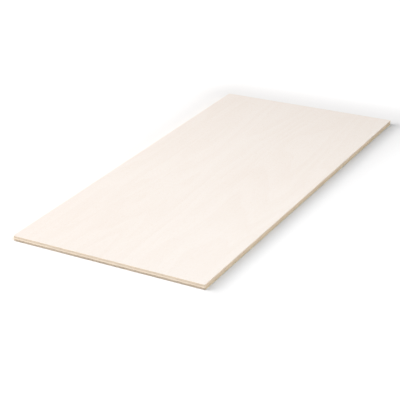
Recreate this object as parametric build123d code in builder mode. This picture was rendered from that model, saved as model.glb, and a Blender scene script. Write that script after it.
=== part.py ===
from build123d import *
import os

# Plywood sheet of three plies: a core veneer glued crosswise between a face and a back veneer.
# It lies on its back, with the centre of its underside at the origin.
# The grain of the face and the back runs along X, the grain of the core along Y, and the face looks up.

# Outline of the sheet, in millimetres
sheet_length = 500.0
sheet_width = 250.0
corner_radius = 1.5

# Thickness of each ply: all three are peeled alike, and the two outer ones are then sanded
face_thickness = 2.1
core_thickness = 2.3
back_thickness = 2.1

# Rounding of the edges round the face and round the back, left by sandpaper
arris_radius = 0.3

# Heights of the two glue lines above the underside
lower_glue_line = back_thickness
upper_glue_line = lower_glue_line + core_thickness

# Face veneer, eased round its top
with BuildPart() as face_veneer:
    with BuildSketch(Plane.XY.offset(upper_glue_line)):
        RectangleRounded(sheet_length, sheet_width, corner_radius)
    extrude(amount=face_thickness)
    top = face_veneer.faces().sort_by(Axis.Z)[-1]
    fillet(top.edges(), radius=arris_radius)
face_veneer.part.label = "face_veneer"

# Core veneer, sawn flush with the two outer plies
with BuildPart() as core_veneer:
    with BuildSketch(Plane.XY.offset(lower_glue_line)):
        RectangleRounded(sheet_length, sheet_width, corner_radius)
    extrude(amount=core_thickness)
core_veneer.part.label = "core_veneer"

# Back veneer, eased round its underside
with BuildPart() as back_veneer:
    with BuildSketch(Plane.XY):
        RectangleRounded(sheet_length, sheet_width, corner_radius)
    extrude(amount=back_thickness)
    underside = back_veneer.faces().sort_by(Axis.Z)[0]
    fillet(underside.edges(), radius=arris_radius)
back_veneer.part.label = "back_veneer"

os.makedirs("parts", exist_ok=True)
export_step(face_veneer.part, "parts/face_veneer.step")
export_step(core_veneer.part, "parts/core_veneer.step")
export_step(back_veneer.part, "parts/back_veneer.step")
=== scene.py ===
import math

import bpy
import numpy as np
from mathutils import Euler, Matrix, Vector


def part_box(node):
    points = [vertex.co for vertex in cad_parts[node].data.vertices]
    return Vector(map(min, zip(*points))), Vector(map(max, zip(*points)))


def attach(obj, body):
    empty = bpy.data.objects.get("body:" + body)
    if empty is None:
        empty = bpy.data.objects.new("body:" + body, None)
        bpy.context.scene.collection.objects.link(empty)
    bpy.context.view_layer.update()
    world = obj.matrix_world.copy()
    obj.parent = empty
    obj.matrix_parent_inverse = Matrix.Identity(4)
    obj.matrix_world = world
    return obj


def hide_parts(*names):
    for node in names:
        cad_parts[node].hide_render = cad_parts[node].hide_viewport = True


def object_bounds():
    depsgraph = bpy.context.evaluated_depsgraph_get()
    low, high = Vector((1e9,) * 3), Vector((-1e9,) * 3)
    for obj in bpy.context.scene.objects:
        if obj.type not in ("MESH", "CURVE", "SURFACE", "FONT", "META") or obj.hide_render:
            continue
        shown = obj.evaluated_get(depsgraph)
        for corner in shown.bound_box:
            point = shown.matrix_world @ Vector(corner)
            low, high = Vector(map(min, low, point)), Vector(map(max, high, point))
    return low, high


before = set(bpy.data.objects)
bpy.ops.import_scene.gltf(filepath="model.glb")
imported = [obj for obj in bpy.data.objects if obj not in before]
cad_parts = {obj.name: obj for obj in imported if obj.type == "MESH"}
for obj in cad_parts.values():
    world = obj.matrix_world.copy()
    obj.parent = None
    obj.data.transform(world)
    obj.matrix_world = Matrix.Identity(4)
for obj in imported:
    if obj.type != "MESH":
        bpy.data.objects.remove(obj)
cad_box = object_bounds()

# A sheet of three-ply plywood, lying flat on a white floor.
# Each ply is a closed mesh in the place of its plain solid, with the relief of its sawn edge.
# The grain of the face and the back runs along X and the grain of the core along Y.

MM = 0.001

# Outline, shared by the three plies
half_length = (cad_box[1][0] - cad_box[0][0]) / 2
half_width = (cad_box[1][1] - cad_box[0][1]) / 2
corner_radius = 1.5 * MM
arris_radius = 0.3 * MM
lower_easing = 0.8 * MM

# Mesh of a ply: columns along each side of the edge, halved at each ring on the way into a flat side
columns_long = 1280
columns_short = 640
ring_insets = [0.95 * MM, 1.6 * MM, 2.8 * MM, 6.0 * MM, 12.5 * MM]
wall_rows = 9
arris_rows = 4

# Relief of the sawn edges: the length of each pattern along the edge, its rows in the height of a ply,
# and its depth in millimetres. A pattern's seed is added to the ply's own, but the three plies share the
# marks of the saw, which lean. The fuzz and the grain fade out beside a glue line.
saw_length = 0.9 * MM
saw_lean = 0.4
saw_depth = 0.012
saw_seed = 11
fuzz_length = 0.8 * MM
fuzz_rows = 7.0
fuzz_depth = 0.02
fuzz_seed = 12
grain_length = 14.0 * MM
grain_rows = 9.0
grain_depth = 0.03
grain_seed = 13
crack_depth = 0.14
glue_fade = 0.25 * MM

# How squarely an edge faces along the grain where end grain starts, and how much more makes it full
end_grain_start = 0.6
end_grain_fade = 0.2

# Lathe checks, the slanted cracks that peeling leaves in end grain: their usual spacing, and the ranges
# of its share, of slant and width in millimetres, of reach as a share of the ply's height, and of depth
check_spacing = 3.4 * MM
check_spread = (0.4, 1.8)
check_slant = (0.4, 1.1)
check_reach = (0.35, 0.85)
check_width = (0.14, 0.3)
check_depth = (0.4, 1.0)

# Room for a ply on its map, as ranges of height: its two flat sides, then the four sides of its edge.
# An outer ply has most of the room for its outer side, which comes first, and the core for its edge.
outer_ply_room = [(0.30, 0.99), (0.01, 0.05), (0.06, 0.11), (0.12, 0.17), (0.18, 0.23), (0.24, 0.29)]
core_ply_room = [(0.05, 0.08), (0.01, 0.04), (0.10, 0.31), (0.33, 0.54), (0.56, 0.77), (0.79, 0.99)]
map_left = 0.01
map_right = 0.99


# Noise for the relief

lattice_size = 4096
column_stride = 73
row_stride = 1931


def lattice(seed):
    return np.random.default_rng(seed).uniform(-1.0, 1.0, lattice_size)


def smooth(share):
    """A share from 0 to 1 that starts and ends gently."""
    return share * share * (3.0 - 2.0 * share)


def line_noise(place, seed):
    """Noise in one dimension, from -1 to 1, with one random value for each unit of place."""
    values = lattice(seed)
    whole = np.floor(place).astype(int)
    low = values[whole % lattice_size]
    high = values[(whole + 1) % lattice_size]
    return low + (high - low) * smooth(place - whole)


def sheet_noise(across, up, seed):
    """Noise in two dimensions, from -1 to 1."""
    values = lattice(seed)
    column = np.floor(across).astype(int)
    row = np.floor(up).astype(int)

    def corner(right, above):
        place = (column + right) * column_stride + (row + above) * row_stride
        return values[place % lattice_size]

    share = smooth(across - column)
    low = corner(0, 0) + (corner(1, 0) - corner(0, 0)) * share
    high = corner(0, 1) + (corner(1, 1) - corner(0, 1)) * share
    return low + (high - low) * smooth(up - row)


def lathe_checks(along, share, seed):
    """How deep in a crack, from 0 to 1, the points at a share of the ply's height lie.

    The cracks are open towards share 0.
    """
    random = np.random.default_rng(seed)
    depth = np.zeros_like(along)
    place = along.min()
    while place < along.max():
        place += check_spacing * random.uniform(*check_spread)
        slant = random.uniform(*check_slant) * MM
        reach = random.uniform(*check_reach)
        width = random.uniform(*check_width) * MM
        line = (along - place - slant * share) / width
        closing = np.clip(1.0 - share / reach, 0.0, 1.0)
        depth = np.maximum(depth, np.exp(-line * line) * closing * random.uniform(*check_depth))
    return depth


# Rings round the sheet


def outline(inset, count_long, count_short):
    """Points of one ring round the sheet, counter-clockwise from its lower left corner."""
    reach_x = half_length - inset
    reach_y = half_width - inset
    long_way = 2 * reach_x * (np.arange(count_long) / count_long)
    short_way = 2 * reach_y * (np.arange(count_short) / count_short)
    x = np.concatenate([
        -reach_x + long_way,
        np.full(count_short, reach_x),
        reach_x - long_way,
        np.full(count_short, -reach_x),
    ])
    y = np.concatenate([
        np.full(count_long, -reach_y),
        -reach_y + short_way,
        np.full(count_long, reach_y),
        reach_y - short_way,
    ])
    points = np.stack([x, y], axis=1)
    radius = corner_radius - inset
    if radius > 0.0:
        straight = np.array([reach_x - radius, reach_y - radius])
        in_corner = np.all(np.abs(points) > straight, axis=1)
        centres = np.sign(points[in_corner]) * straight
        spokes = points[in_corner] - centres
        points[in_corner] = centres + radius * spokes / np.hypot(*spokes.T)[:, None]
    return points


def outward(points):
    """Unit vectors out of a closed ring."""
    step = np.roll(points, -1, axis=0) - np.roll(points, 1, axis=0)
    step /= np.linalg.norm(step, axis=1)[:, None]
    return np.stack([step[:, 1], -step[:, 0]], axis=1)


def edge_relief(ring, normal, height, share, from_glue, grain_axis, seed):
    """How far each point of a ring lies behind the sawn edge, and how deep it is in a crack.

    share is the ring's share of the ply's height, and from_glue is 0 on a glue line and 1 away from it.
    """
    faces_x = np.abs(normal[:, 0]) > np.abs(normal[:, 1])
    along = np.where(faces_x, ring[:, 1], ring[:, 0])
    side = faces_x * 2 + (normal.sum(axis=1) > 0)
    facing = np.abs(normal[:, "XY".index(grain_axis)])
    end_grain = np.clip((facing - end_grain_start) / end_grain_fade, 0.0, 1.0)
    cracks = np.zeros(len(ring))
    for number in range(4):
        here = side == number
        if end_grain[here].max() > 0.0:
            cracks[here] = lathe_checks(along[here], share, seed + number)
    cracks *= end_grain
    saw = 0.5 + 0.5 * line_noise((along + saw_lean * height) / saw_length, saw_seed)
    fuzz = 0.5 + 0.5 * sheet_noise(along / fuzz_length, share * fuzz_rows, seed + fuzz_seed)
    grain = 0.5 + 0.5 * sheet_noise(along / grain_length, share * grain_rows, seed + grain_seed)
    own = end_grain * fuzz_depth * fuzz + (1.0 - end_grain) * grain_depth * grain
    depth = saw_depth * saw + from_glue * own + end_grain * crack_depth * cracks
    return depth * MM, cracks


# Mesh of a ply, whose easing is "top" for the face, "bottom" for the back and "none" for the core


def room_on_map(easing):
    """Rectangles on the map, as low and high corners: top, bottom, then the four sides of the edge."""
    room = list(core_ply_room if easing == "none" else outer_ply_room)
    if easing == "bottom":
        room[0], room[1] = room[1], room[0]
    return [((map_left, low), (map_right, high)) for low, high in room]


def into(rectangle, places):
    """Places from 0 to 1, moved into a rectangle of the map."""
    low, high = np.array(rectangle)
    return low + (high - low) * places


class PlyMesh:
    """Points and faces of one ply, gathered part by part, with each corner's place on the map."""

    def __init__(self):
        self.points = np.empty((0, 3))
        self.cracks = np.empty(0)
        self.rounding = np.empty(0)
        self.faces = []
        self.on_map = []

    def add_points(self, flat, height, turned, cracks=0.0):
        """Adds points of one height and returns their numbers; turned is their share of the rounding."""
        count = len(flat)
        numbers = len(self.points) + np.arange(count)
        self.points = np.vstack([self.points, np.column_stack([flat, np.full(count, height)])])
        self.cracks = np.append(self.cracks, np.full(count, cracks))
        self.rounding = np.append(self.rounding, np.full(count, turned))
        return numbers

    def add_faces(self, corners, places):
        """Adds faces, each a row of point numbers, with their corners' places on the map."""
        self.faces += corners.tolist()
        self.on_map.append(places.reshape(-1, 2))

    def add_flat_faces(self, corners, upward, rectangle):
        """Adds faces of a flat side, which lie on the map as they do on the sheet."""
        if not upward:
            corners = corners[:, ::-1]
        places = self.points[corners, :2] / (2 * half_length, 2 * half_width) + 0.5
        self.add_faces(corners, into(rectangle, places))


def edge_levels(low, high, easing):
    """Rings up the edge, from the bottom: inset, height, share of the rounding and share of the relief."""
    radius = lower_easing if easing == "bottom" else arris_radius
    wall_low = low + radius if easing == "bottom" else low
    wall_high = high - radius if easing == "top" else high
    levels = [(0.0, height, 0.0, 1.0) for height in np.linspace(wall_low, wall_high, wall_rows)]
    turns = np.linspace(0.0, math.pi / 2, arris_rows + 1)
    for turn in turns[1:]:
        inset = radius * (1 - math.cos(turn))
        rise = radius * math.sin(turn)
        turned = turn / turns[-1]
        relief = 1.0 - inset / radius
        if easing == "bottom":
            levels.insert(0, (inset, wall_low - rise, turned, relief))
        if easing == "top":
            levels.append((inset, wall_high + rise, turned, relief))
    return levels


def add_edge(mesh, levels, low, high, easing, grain_axis, seed):
    """Adds the points of the rings up the edge, pushed in by its relief, and returns their numbers."""
    glue_heights = [low] * (easing != "bottom") + [high] * (easing != "top")
    normal = outward(outline(0.0, columns_long, columns_short))
    rings = []
    for inset, height, turned, relief in levels:
        ring = outline(inset, columns_long, columns_short)
        share = (height - low) / (high - low)
        if easing == "bottom":
            share = 1.0 - share
        from_glue = min(min(abs(height - glue) for glue in glue_heights) / glue_fade, 1.0)
        depth, cracks = edge_relief(ring, normal, height, share, from_glue, grain_axis, seed)
        ring -= normal * (depth * relief)[:, None]
        rings.append(mesh.add_points(ring, height, turned, cracks * relief))
    return rings


def add_wall(mesh, levels, rings, strips):
    """Adds the faces between the rings, each side of the sheet in its own strip of the map."""
    counts = np.array([columns_long, columns_short] * 2)
    side = np.repeat(np.arange(4), counts)
    start = (np.arange(len(side)) - (np.cumsum(counts) - counts)[side]) / counts[side]
    end = start + 1.0 / counts[side]
    across = np.stack([start, end, end, start], axis=1)
    profile = np.array([level[:2] for level in levels])
    run = np.append(0.0, np.cumsum(np.hypot(*np.diff(profile, axis=0).T)))
    run /= run[-1]
    for row, (lower, upper) in enumerate(zip(rings[:-1], rings[1:])):
        corners = np.stack([lower, np.roll(lower, -1), np.roll(upper, -1), upper], axis=1)
        up = np.broadcast_to(run[[row, row, row + 1, row + 1]], across.shape)
        places = np.stack([across, up], axis=-1)
        for number, strip in enumerate(strips):
            places[side == number] = into(strip, places[side == number])
        mesh.add_faces(corners, places)


def add_flat_side(mesh, outer, height, turned, upward, rectangle):
    """Adds rings that halve their points, from the outer ring inward, and a grid in the middle."""
    count_long = columns_long
    count_short = columns_short
    for inset in ring_insets:
        count_long //= 2
        count_short //= 2
        inner = mesh.add_points(outline(inset, count_long, count_short), height, turned)
        near = outer[0::2]
        middle = outer[1::2]
        far = np.roll(near, -1)
        inner_far = np.roll(inner, -1)
        for triangle in ((near, middle, inner), (middle, inner_far, inner), (middle, far, inner_far)):
            mesh.add_flat_faces(np.stack(triangle, axis=1), upward, rectangle)
        outer = inner

    first_side, second_side, third_side, fourth_side = np.split(
        outer, [count_long, count_long + count_short, 2 * count_long + count_short]
    )
    grid = np.empty((count_long + 1, count_short + 1), int)
    grid[:-1, 0] = first_side
    grid[-1, :-1] = second_side
    grid[:0:-1, -1] = third_side
    grid[0, :0:-1] = fourth_side
    reach_x = half_length - ring_insets[-1]
    reach_y = half_width - ring_insets[-1]
    x = np.linspace(-reach_x, reach_x, count_long + 1)[1:-1]
    y = np.linspace(-reach_y, reach_y, count_short + 1)[1:-1]
    inside = np.stack(np.meshgrid(x, y, indexing="ij"), axis=-1).reshape(-1, 2)
    grid[1:-1, 1:-1] = mesh.add_points(inside, height, turned).reshape(len(x), len(y))
    quads = np.stack([grid[:-1, :-1], grid[1:, :-1], grid[1:, 1:], grid[:-1, 1:]], axis=-1)
    mesh.add_flat_faces(quads.reshape(-1, 4), upward, rectangle)


def ply(name, low, high, easing, grain_axis, seed):
    """A closed mesh of one ply from the height low to the height high."""
    made = PlyMesh()
    top_room, bottom_room, *strips = room_on_map(easing)
    levels = edge_levels(low, high, easing)
    rings = add_edge(made, levels, low, high, easing, grain_axis, seed)
    add_wall(made, levels, rings, strips)
    wall_faces = len(made.faces)
    add_flat_side(made, rings[-1], high, float(easing == "top"), True, top_room)
    add_flat_side(made, rings[0], low, float(easing == "bottom"), False, bottom_room)

    mesh = bpy.data.meshes.new(name)
    mesh.from_pydata(made.points.tolist(), [], made.faces)
    layer = mesh.uv_layers.new(name="OFBake")
    layer.uv.foreach_set("vector", np.concatenate(made.on_map).astype(np.float32).ravel())
    mesh.polygons.foreach_set("use_smooth", np.arange(len(made.faces)) < wall_faces)
    for kept, values in (("crack", made.cracks), ("rounding", made.rounding)):
        attribute = mesh.attributes.new(kept, "FLOAT", "POINT")
        attribute.data.foreach_set("value", values.astype(np.float32))
    mesh.update()
    piece = bpy.data.objects.new(name, mesh)
    bpy.context.collection.objects.link(piece)
    return piece


# Materials


def colour(red, green, blue):
    """A colour as seen on a screen, 0 to 255, in linear values."""
    def linear(value):
        value /= 255.0
        return value / 12.92 if value <= 0.04045 else ((value + 0.055) / 1.055) ** 2.4
    return (linear(red), linear(green), linear(blue), 1.0)


class Nodes:
    """Short names for the nodes of a material or a world."""

    def __init__(self, owner, shader="Principled BSDF"):
        owner.use_nodes = True
        self.tree = owner.node_tree
        self.shader = self.tree.nodes[shader]

    def add(self, kind, **settings):
        made = self.tree.nodes.new("ShaderNode" + kind)
        for key, value in settings.items():
            setattr(made, key, value)
        return made

    def put(self, socket, value):
        if isinstance(value, bpy.types.NodeSocket):
            self.tree.links.new(value, socket)
        else:
            socket.default_value = value

    def math(self, operation, first, second=0.0, third=0.0):
        made = self.add("Math", operation=operation)
        for socket, value in zip(made.inputs, (first, second, third)):
            self.put(socket, value)
        return made.outputs[0]

    def ramp(self, value, low, high, to_low=0.0, to_high=1.0):
        """The value between low and high, smoothly brought to the range from to_low to to_high."""
        made = self.add("MapRange", interpolation_type="SMOOTHSTEP")
        for socket, number in zip(made.inputs, (value, low, high, to_low, to_high)):
            self.put(socket, number)
        return made.outputs[0]

    def place(self):
        return self.add("TexCoord").outputs["Object"]

    def separate(self, vector):
        """The parts of a vector, under the names X, Y and Z."""
        made = self.add("SeparateXYZ")
        self.put(made.inputs[0], vector)
        return made.outputs

    def attribute(self, name):
        return self.add("Attribute", attribute_name=name).outputs["Fac"]

    def noise(self, cells, detail=2.0, roughness=0.5, distortion=0.0):
        """Noise with so many cells in a metre along X, Y and Z."""
        stretched = self.add("Mapping")
        self.put(stretched.inputs["Vector"], self.place())
        self.put(stretched.inputs["Scale"], cells)
        made = self.add("TexNoise")
        self.put(made.inputs["Vector"], stretched.outputs["Vector"])
        self.put(made.inputs["Scale"], 1.0)
        self.put(made.inputs["Detail"], detail)
        self.put(made.inputs["Roughness"], roughness)
        self.put(made.inputs["Distortion"], distortion)
        return made.outputs[0]

    def mix(self, share, first, second, blend="MIX"):
        made = self.add("Mix", data_type="RGBA", blend_type=blend)
        self.put(made.inputs[0], share)
        self.put(made.inputs[6], first)
        self.put(made.inputs[7], second)
        return made.outputs[2]

    def bump(self, height, distance, strength):
        made = self.add("Bump")
        self.put(made.inputs["Height"], height)
        self.put(made.inputs["Distance"], distance)
        self.put(made.inputs["Strength"], strength)
        return made.outputs[0]

    def seen_directly(self):
        """1 for what the camera, a reflection or a see-through surface shows, and 0 for the rest."""
        rays = self.add("LightPath").outputs
        total = self.math("MAXIMUM", rays["Is Camera Ray"], rays["Is Glossy Ray"])
        return self.math("MAXIMUM", total, rays["Is Transmission Ray"])


# Colours of the wood, as a lighter and a deeper one for each kind of sawn edge
face_pale = colour(246, 240, 234)
face_deep = colour(241, 232, 224)
vessel_tan = colour(222, 200, 174)
# Partly painted highlight: the arris is painted lighter than the face, for sanded fresh wood and for the
# light it catches
arris_sanded_and_highlight = colour(255, 247, 232)
# Painted shade: the back ply's lower arris is painted dark, for the contact shadow where the sheet meets
# the floor
lower_arris_painted_shade = colour(160, 140, 116)
face_long = (colour(255, 235, 210), colour(253, 225, 197))
face_end = (colour(249, 234, 214), colour(233, 216, 193))
core_long = (colour(255, 244, 225), colour(250, 231, 209))
core_end = (colour(255, 236, 209), colour(248, 219, 187))
back_long = (colour(255, 240, 207), colour(251, 223, 186))
# The back ply's end grain is darker and greyer: partly a plainer underside veneer, partly painted shade
# near the floor
back_end_with_painted_shade = (colour(223, 208, 190), colour(204, 188, 167))
glue_brown = colour(150, 110, 72)

# Patterns that follow the grain, as cells in a metre along the grain, across it and up
ring_cells = (1.5, 10.0, 1.0)
lane_cells = (8.0, 330.0, 330.0)
fibre_cells = (150.0, 7000.0, 7000.0)
vessel_cells = (230.0, 6500.0, 6500.0)
streak_cells = (30.0, 1500.0, 3000.0)

# Patterns that don't, as cells in a metre along X, Y and Z
blush_cells = (5.0, 7.0, 5.0)
pore_cells = (3600.0, 3600.0, 3600.0)
layer_cells = (60.0, 60.0, 2600.0)
ray_cells = (2600.0, 2600.0, 260.0)
arris_patch_cells = (90.0, 90.0, 90.0)
swell_cells = (130.0, 130.0, 10.0)

# Growth rings from the lowest to the highest value of their field
ring_count = 15.0

# Shares of the patterns in the tone of a flat side, and of the vessel lines over it
band_share = 0.11
blush_share = 0.46
lane_share = 0.22
fibre_share = 0.28
vessel_share = 0.35

# Shares of the patterns in the tone of end grain, and of the shade in its cracks
pore_share = 0.45
layer_share = 0.3
ray_share = 0.25
crack_share = 0.6

# How far the glue shows from its line, where it is thin and where it swells
glue_thin = 0.10 * MM
glue_swollen = 0.22 * MM

# Roughness of a flat side, what its fibres add and what a sawn edge adds
flat_roughness = 0.70
fibre_roughness = 0.12
sawn_roughness = 0.08

# Gloss, and the finest relief: how vessels cut into the fibres, and what pores and streaks add
wood_gloss = 0.25
bump_depth = 0.03 * MM
bump_strength = 0.5
vessel_bump = -0.6
pore_bump = 0.5
streak_bump = 0.5

# Shares of the rounding between which the tone of the arris comes in, and then the look of the flat side.
# Where the arris tone is weakest, that share of it shows: of the sanded cream and painted highlight on the
# face, and of the painted shade on the back.
arris_start = (0.1, 0.33)
flat_start = (0.71, 0.94)
least_arris = 0.6


def flat_look(n, grain):
    """Colour, relief and fibres of a flat side, with growth rings, blushes, streaks and vessel lines."""
    field = n.noise(grain(*ring_cells), detail=2.5, roughness=0.45, distortion=0.4)
    bands = n.math("FRACT", n.math("MULTIPLY", field, ring_count))
    bands = n.math("MULTIPLY", n.ramp(bands, 0.0, 0.88), n.ramp(bands, 0.90, 1.0, 1.0, 0.0))
    blush = n.noise(blush_cells)
    lanes = n.noise(grain(*lane_cells), detail=3.0, roughness=0.55)
    fibre = n.noise(grain(*fibre_cells), roughness=0.6)
    vessels = n.ramp(n.noise(grain(*vessel_cells), detail=0.0), 0.66, 0.74)
    tone = n.math("MULTIPLY_ADD", bands, band_share, n.math("MULTIPLY", blush, blush_share))
    tone = n.math("MULTIPLY_ADD", lanes, lane_share, tone)
    tone = n.math("MULTIPLY_ADD", fibre, fibre_share, tone)
    tint = n.mix(n.ramp(tone, 0.2, 0.9), face_pale, face_deep)
    tint = n.mix(n.math("MULTIPLY", vessels, vessel_share), tint, vessel_tan)
    relief = n.math("MULTIPLY_ADD", vessels, vessel_bump, fibre)
    return tint, relief, fibre


def edge_look(n, grain, facing, long_grain, end_grain):
    """Colour and relief of a sawn edge: end grain where it faces along the grain, and else long grain."""
    streaks = n.noise(grain(*streak_cells), detail=3.0, roughness=0.6)
    long_tint = n.mix(n.ramp(streaks, 0.3, 0.7), *long_grain)
    pores = n.noise(pore_cells, roughness=0.7)
    layers = n.noise(layer_cells)
    rays = n.noise(ray_cells, detail=1.0)
    tone = n.math("MULTIPLY_ADD", pores, pore_share, n.math("MULTIPLY", layers, layer_share))
    tone = n.math("MULTIPLY_ADD", rays, ray_share, tone)
    end_tint = n.mix(n.ramp(tone, 0.38, 0.62), *end_grain)
    shade = n.math("MULTIPLY", n.attribute("crack"), crack_share)
    end_tint = n.mix(shade, end_tint, end_grain[1], "MULTIPLY")
    tint = n.mix(n.ramp(facing, 0.55, 0.85), long_tint, end_tint)
    relief = n.math("MULTIPLY_ADD", pores, pore_bump, n.math("MULTIPLY", streaks, streak_bump))
    return tint, relief


def with_glue(n, tint, glue_lines):
    """A colour with the glue over it: a line that swells and thins at the edge, and the sides within."""
    height = n.separate(n.place())["Z"]
    for glue_height, darkness in glue_lines:
        distance = n.math("ABSOLUTE", n.math("SUBTRACT", height, glue_height))
        reach = n.ramp(n.noise(swell_cells), 0.3, 0.7, glue_thin, glue_swollen)
        share = n.ramp(n.math("DIVIDE", distance, reach), 0.5, 1.0, darkness, 0.0)
        tint = n.mix(share, tint, glue_brown)
    return tint


def wood(name, grain_axis, long_grain, end_grain, arris_tone, glue_lines):
    """Peeled wood with its grain along X or Y: pale on its flat sides, tan where it is sawn."""
    material = bpy.data.materials.new(name)
    n = Nodes(material)

    def grain(along, across, up):
        return (along, across, up) if grain_axis == "X" else (across, along, up)

    normal = n.separate(n.add("NewGeometry").outputs["Normal"])
    facing = n.math("ABSOLUTE", normal[grain_axis])
    flat_tint, flat_bump, fibre = flat_look(n, grain)
    edge_tint, edge_bump = edge_look(n, grain, facing, long_grain, end_grain)

    # Eased arris between the edge and the flat side, in an uneven tone: sanded cream that is partly a
    # painted highlight on the face, and painted shade on the back
    rounding = n.attribute("rounding")
    flat_share = n.ramp(rounding, *flat_start)
    wear_and_painted_light = n.ramp(n.noise(arris_patch_cells, detail=3.0), 0.35, 0.6, least_arris, 1.0)
    arris_share = n.math("MULTIPLY", n.ramp(rounding, *arris_start), wear_and_painted_light)
    tint = n.mix(arris_share, edge_tint, arris_tone)
    tint = n.mix(flat_share, tint, flat_tint)
    n.put(n.shader.inputs["Base Color"], with_glue(n, tint, glue_lines))

    sawn_share = n.math("SUBTRACT", 1.0, flat_share)
    rough = n.math("MULTIPLY_ADD", fibre, fibre_roughness, flat_roughness)
    rough = n.math("MULTIPLY_ADD", sawn_share, sawn_roughness, rough)
    n.put(n.shader.inputs["Roughness"], rough)
    n.put(n.shader.inputs["Specular IOR Level"], wood_gloss)
    relief = n.mix(flat_share, edge_bump, flat_bump)
    n.put(n.shader.inputs["Normal"], n.bump(relief, bump_depth, bump_strength))
    return material


# The three plies, with the height of each glue line and how dark it shows

core_low, core_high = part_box("core_veneer")
lower_glue = (core_low[2], 0.9)
upper_glue = (core_high[2], 0.5)

for node, easing, grain_axis, long_grain, end_grain, arris_tone, glue_lines, seed in (
    ("face_veneer", "top", "X", face_long, face_end, arris_sanded_and_highlight, [upper_glue], 100),
    ("core_veneer", "none", "Y", core_long, core_end, arris_sanded_and_highlight, [lower_glue, upper_glue], 200),
    ("back_veneer", "bottom", "X", back_long, back_end_with_painted_shade, lower_arris_painted_shade, [lower_glue], 300),
):
    low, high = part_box(node)
    piece = ply(node.replace("veneer", "ply"), low[2], high[2], easing, grain_axis, seed)
    finish = wood(node + "_wood", grain_axis, long_grain, end_grain, arris_tone, glue_lines)
    piece.data.materials.append(finish)
    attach(piece, "root")
    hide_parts(node)


# Floor

floor_half = 4.0
floor_white = (0.93, 0.93, 0.93, 1.0)
white = (1.0, 1.0, 1.0, 1.0)

# Light of the floor's own, which is seen but lights nothing: none where the sheet's shadow falls, some
# beside it, and full light where the floor lies beyond the lamps
near_lift = 0.45
near_reach = 0.15
far_lift = 1.0
far_start = 0.5
far_reach = 1.5


def distance_from_sheet(n):
    """How far a point of the floor lies from the sheet's outline, and 0 under the sheet."""
    place = n.separate(n.place())
    past_end = n.math("SUBTRACT", n.math("ABSOLUTE", place["X"]), half_length)
    past_end = n.math("MAXIMUM", past_end, 0.0)
    past_side = n.math("SUBTRACT", n.math("ABSOLUTE", place["Y"]), half_width)
    past_side = n.math("MAXIMUM", past_side, 0.0)
    squares = n.math("MULTIPLY_ADD", past_end, past_end, n.math("MULTIPLY", past_side, past_side))
    return n.math("SQRT", squares)


floor_mesh = bpy.data.meshes.new("floor")
floor_corners = [(x * floor_half, y * floor_half, 0.0) for x, y in ((-1, -1), (1, -1), (1, 1), (-1, 1))]
floor_mesh.from_pydata(floor_corners, [], [(0, 1, 2, 3)])
floor = bpy.data.objects.new("floor", floor_mesh)
bpy.context.collection.objects.link(floor)

floor_paint = bpy.data.materials.new("floor_paint")
paint = Nodes(floor_paint)
paint.put(paint.shader.inputs["Base Color"], floor_white)
paint.put(paint.shader.inputs["Roughness"], 1.0)
paint.put(paint.shader.inputs["Specular IOR Level"], 0.0)
paint.put(paint.shader.inputs["Emission Color"], white)
away = distance_from_sheet(paint)
beside = paint.ramp(away, 0.0, near_reach, 0.0, near_lift)
beyond = paint.ramp(away, far_start, far_reach, 0.0, far_lift - near_lift)
lift = paint.math("MULTIPLY", paint.seen_directly(), paint.math("ADD", beside, beyond))
paint.put(paint.shader.inputs["Emission Strength"], lift)
floor_mesh.materials.append(floor_paint)


# Background, white as it is seen and dim as a light

world_light = 0.033

world = bpy.data.worlds.new("studio")
bpy.context.scene.world = world
sky = Nodes(world, "Background")
sky.put(sky.shader.inputs["Color"], white)
sky.put(sky.shader.inputs["Strength"], sky.ramp(sky.seen_directly(), 0.0, 1.0, world_light, 1.0))


# Lamps: the ones behind the sheet are slightly warm, and the one before it is slightly cool

key_tint = (1.0, 0.959, 0.936)
fill_tint = (0.910, 0.963, 1.0)


def soft_box(name, direction, distance, size, power, tint):
    """A soft lamp that shines on the middle of the sheet.

    direction is its azimuth, counted from +X towards +Y, and its elevation, in degrees.
    """
    lamp = bpy.data.lights.new(name, "AREA")
    lamp.shape = "RECTANGLE"
    lamp.size, lamp.size_y = size
    lamp.energy = power
    lamp.color = tint
    holder = bpy.data.objects.new(name, lamp)
    bpy.context.collection.objects.link(holder)
    turn = math.radians(direction[0])
    rise = math.radians(direction[1])
    place = Vector((math.cos(turn) * math.cos(rise), math.sin(turn) * math.cos(rise), math.sin(rise)))
    holder.location = place * distance
    holder.rotation_euler = place.to_track_quat("Z", "Y").to_euler()


soft_box("low_key", (95.0, 20.5), distance=4.0, size=(1.8, 1.0), power=49.4, tint=key_tint)
soft_box("low_side_key", (122.0, 20.5), distance=4.0, size=(1.8, 1.0), power=68.0, tint=key_tint)
soft_box("high_key", (108.0, 42.0), distance=2.0, size=(1.0, 0.9), power=16.2, tint=key_tint)
soft_box("steep_key", (105.0, 68.0), distance=1.8, size=(0.5, 0.5), power=6.2, tint=key_tint)
soft_box("fill", (250.0, 50.0), distance=1.3, size=(0.6, 0.6), power=8.4, tint=fill_tint)


# Camera, at the photograph's place: its direction in degrees from +X towards +Y, down and rolled

camera_place = (-1.1449, -0.6709, 0.6034)
camera_heading = 31.46
camera_dip = 25.52
camera_roll = -2.47
image_side = 400.0
focal_pixels = 1174.5
sensor_width = 36.0

camera = bpy.data.cameras.new("camera")
camera.sensor_width = sensor_width
camera.lens = sensor_width * focal_pixels / image_side
camera_holder = bpy.data.objects.new("camera", camera)
bpy.context.collection.objects.link(camera_holder)
camera_holder.location = camera_place
tilt = math.radians(90.0 - camera_dip)
heading = math.radians(camera_heading - 90.0)
level = Euler((tilt, 0.0, heading), "XYZ").to_matrix()
roll = Euler((0.0, 0.0, math.radians(camera_roll)), "XYZ").to_matrix()
camera_holder.rotation_euler = (level @ roll).to_euler()
bpy.context.scene.camera = camera_holder

bpy.context.scene.view_settings.view_transform = "Standard"
